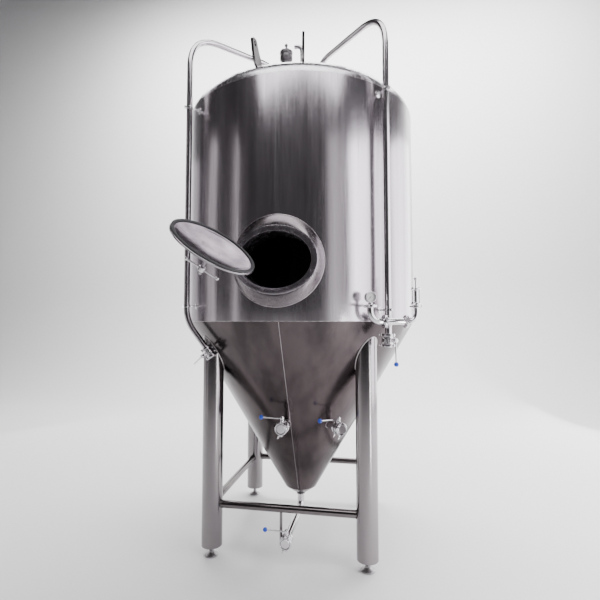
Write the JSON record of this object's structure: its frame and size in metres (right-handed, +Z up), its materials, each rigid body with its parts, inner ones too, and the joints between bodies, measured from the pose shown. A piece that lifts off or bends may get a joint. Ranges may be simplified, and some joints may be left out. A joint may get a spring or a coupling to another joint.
{
  "type": "conical fermenter",
  "caption": "Jacketed conical fermentation tank on tubular legs, with a side manway, valves, gas and wash risers and pressure fittings.",
  "frame": {"origin": "on the floor, under the middle of the bounding box; the vessel's axis stands 0.278 m behind it, because the open manway lid reaches forward", "axes": "+Z up along the vessel's axis, -Y the front with the manway, +X to the right seen from the front"},
  "size_m": [1.74, 2.297, 3.61],
  "materials": {
    "cladding": "satin stainless sheet, brushed vertically",
    "foam": "rigid polyurethane foam",
    "vessel": "pickled and polished stainless",
    "frame_tube": "satin stainless tube",
    "cast_steel": "cast and bead-blasted stainless",
    "polished": "mirror-polished stainless",
    "knob": "blue moulded plastic",
    "seal": "black food-grade rubber",
    "pointer": "black enamel",
    "window": "clear glass"
  },
  "bodies": {
    "tank": {"barrel_cladding": "cladding", "cone_cladding": "cladding", "foot_front_left": "cast_steel", "foot_front_right": "cast_steel", "foot_rear_left": "cast_steel", "foot_rear_right": "cast_steel", "gas_bracket_lower": "polished", "gas_bracket_upper": "polished", "gas_pipe": "polished", "gas_valve_body": "polished", "gauge_bend": "polished", "gauge_case": "polished", "gauge_glass": "window", "head_cladding": "cladding", "hinge_bracket": "cast_steel", "inner_vessel": "vessel", "insulation": "foam", "leg_front_left": "frame_tube", "leg_front_right": "frame_tube", "leg_rear_left": "frame_tube", "leg_rear_right": "frame_tube", "lifting_ear_left": "frame_tube", "lifting_ear_right": "frame_tube", "manifold_cross": "polished", "manway_collar": "cladding", "manway_neck": "cladding", "outlet_pipe": "polished", "outlet_valve_body": "polished", "racking_valve_body": "polished", "rail_front": "frame_tube", "rail_left": "frame_tube", "rail_rear": "frame_tube", "rail_right": "frame_tube", "relief_body": "cast_steel", "sample_valve_body": "polished", "spunding_bend": "polished", "spunding_body": "polished", "top_port_cover": "polished", "vent_bend": "polished", "wash_bracket_lower": "polished", "wash_bracket_upper": "polished", "wash_pipe": "polished", "wash_valve_body": "polished"},
    "racking_lever": {"racking_valve_lever": "polished", "racking_valve_knob": "knob"},
    "sample_lever": {"sample_valve_lever": "polished", "sample_valve_knob": "knob"},
    "outlet_lever": {"outlet_valve_lever": "polished", "outlet_valve_knob": "knob"},
    "gas_lever": {"gas_valve_lever": "polished", "gas_valve_knob": "knob"},
    "wash_lever": {"wash_valve_lever": "polished"},
    "pointer": {"gauge_needle": "pointer"},
    "spunding_stem": {"spunding_rod": "polished"},
    "relief_lid": {"relief_cap": "cast_steel"},
    "arm": {"swing_arm": "polished"},
    "knuckle": {"lid_knuckle": "cast_steel"},
    "lid": {"lid_plate": "polished", "lid_gasket": "seal"},
    "clamp": {"clamp_handle": "polished"}
  },
  "joints": [
    {"name": "racking_valve_turn", "type": "hinge", "parent": "tank", "child": "racking_lever", "pos_m": [-0.02067, -0.31345, 0.889], "axis": [0, 0, 1], "range_deg": [0, 90]},
    {"name": "sample_valve_turn", "type": "hinge", "parent": "tank", "child": "sample_lever", "pos_m": [0.33933, -0.18856, 0.872], "axis": [0, 0, 1], "range_deg": [0, 90]},
    {"name": "outlet_valve_turn", "type": "hinge", "parent": "tank", "child": "outlet_lever", "pos_m": [0, -0.27381, 0.15], "axis": [0, 0, 1], "range_deg": [0, 90]},
    {"name": "gas_valve_turn", "type": "hinge", "parent": "tank", "child": "gas_lever", "pos_m": [0.66468, -0.38619, 1.4677], "axis": [0.7071, -0.7071, 0], "range_deg": [-90, 0]},
    {"name": "wash_valve_turn", "type": "hinge", "parent": "tank", "child": "wash_lever", "pos_m": [-0.50815, -0.37088, 1.37911], "axis": [-0.4182, -0.8293, -0.3706], "range_deg": [0, 90]},
    {"name": "gauge_needle_turn", "type": "hinge", "parent": "tank", "child": "pointer", "pos_m": [0.55734, -0.48714, 1.729], "axis": [0.3746, -0.9272, 0], "range_deg": [-270, 0], "stiffness_Nm_per_rad": 0.001},
    {"name": "spunding_rod_lift", "type": "slide", "parent": "tank", "child": "spunding_stem", "axis": [0, 0, 1], "range_m": [0, 0.012], "stiffness_N_per_m": 800, "springref_m": -0.005},
    {"name": "relief_cap_lift", "type": "slide", "parent": "tank", "child": "relief_lid", "axis": [0, 0, 1], "range_m": [0, 0.008], "stiffness_N_per_m": 500, "springref_m": -0.01},
    {"name": "arm_swing", "type": "hinge", "parent": "tank", "child": "arm", "pos_m": [-0.29, -0.65151, 1.95], "axis": [0, 0, 1], "range_deg": [0, 78]},
    {"name": "lid_tip", "type": "hinge", "parent": "arm", "child": "knuckle", "pos_m": [-0.2747, -0.94474, 1.95], "axis": [0.1767, -0.8313, -0.5269], "range_deg": [-61.4, 0]},
    {"name": "lid_turn", "type": "hinge", "parent": "knuckle", "child": "lid", "pos_m": [-0.2747, -0.94474, 1.95], "axis": [0.5658, -0.3523, 0.7455], "range_deg": [0, 76]},
    {"name": "clamp_handle_turn", "type": "hinge", "parent": "lid", "child": "clamp", "pos_m": [-0.2747, -0.94474, 1.95], "axis": [0.5658, -0.3523, 0.7455], "continuous": true}
  ],
  "couplings": [
    {"joint": "lid_tip", "follows": "arm_swing", "ratio": -0.7859}
  ]
}
